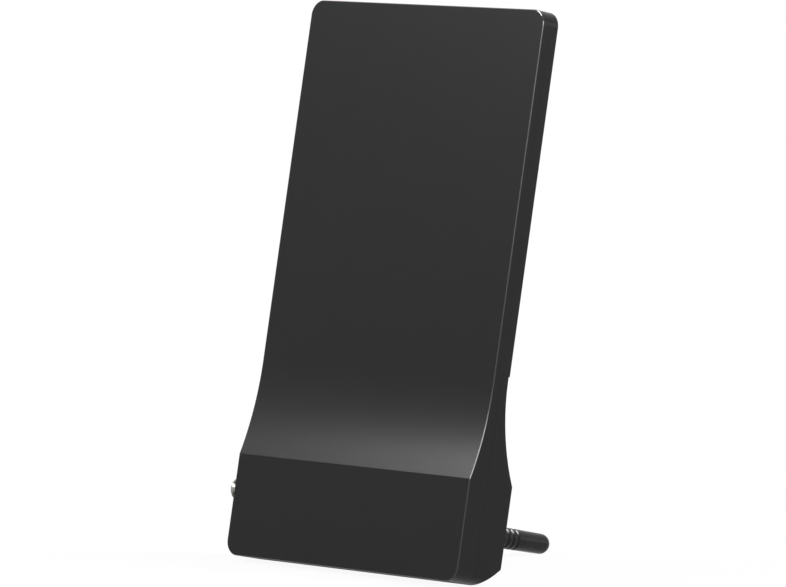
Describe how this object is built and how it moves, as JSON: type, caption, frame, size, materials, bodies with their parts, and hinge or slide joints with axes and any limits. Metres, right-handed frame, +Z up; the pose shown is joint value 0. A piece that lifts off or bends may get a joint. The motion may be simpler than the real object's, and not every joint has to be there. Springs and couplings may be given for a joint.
{
  "type": "indoor television antenna",
  "caption": "Slim indoor television antenna: a flat panel on a stepped base, leaning back on a round prop leg, with a threaded aerial socket at its side.",
  "frame": {"origin": "middle of the part's footprint box, on the surface that it stands on", "axes": "+Z up, -Y towards the viewer of the panel's front, +X to that viewer's right"},
  "size_m": [0.1324, 0.105, 0.2028],
  "materials": {
    "black_moulding": "fine moulded texture, near-black",
    "black_leg": "satin moulded black",
    "radiator_sheet": "stamped sheet, bright",
    "wire_jacket": "smooth grey-black jacket",
    "circuit_board": "green solder mask",
    "tinplate": "folded tinplate",
    "chip_resin": "black resin",
    "ferrite": "dark sintered ferrite",
    "nickel": "bright nickel plate",
    "insulator": "white plastic core",
    "contact_brass": "turned brass",
    "zinc_steel": "black-passivated zinc"
  },
  "bodies": {
    "root": {"front_housing": "black_moulding", "rear_cover": "black_moulding", "rear_leg": "black_leg", "left_radiator": "radiator_sheet", "right_radiator": "radiator_sheet", "feed_wires": "wire_jacket", "amplifier_board": "circuit_board", "shield_can": "tinplate", "amplifier_chip": "chip_resin", "chip_parts": "chip_resin", "balun_core": "ferrite", "f_socket_body": "nickel", "f_socket_nut": "nickel", "f_socket_washer": "nickel", "f_socket_insulator": "insulator", "f_socket_contact": "contact_brass", "leg_insert": "contact_brass", "leg_stud": "zinc_steel", "base_screws": "zinc_steel", "neck_screws": "zinc_steel", "board_screws": "zinc_steel"}
  },
  "joints": []
}
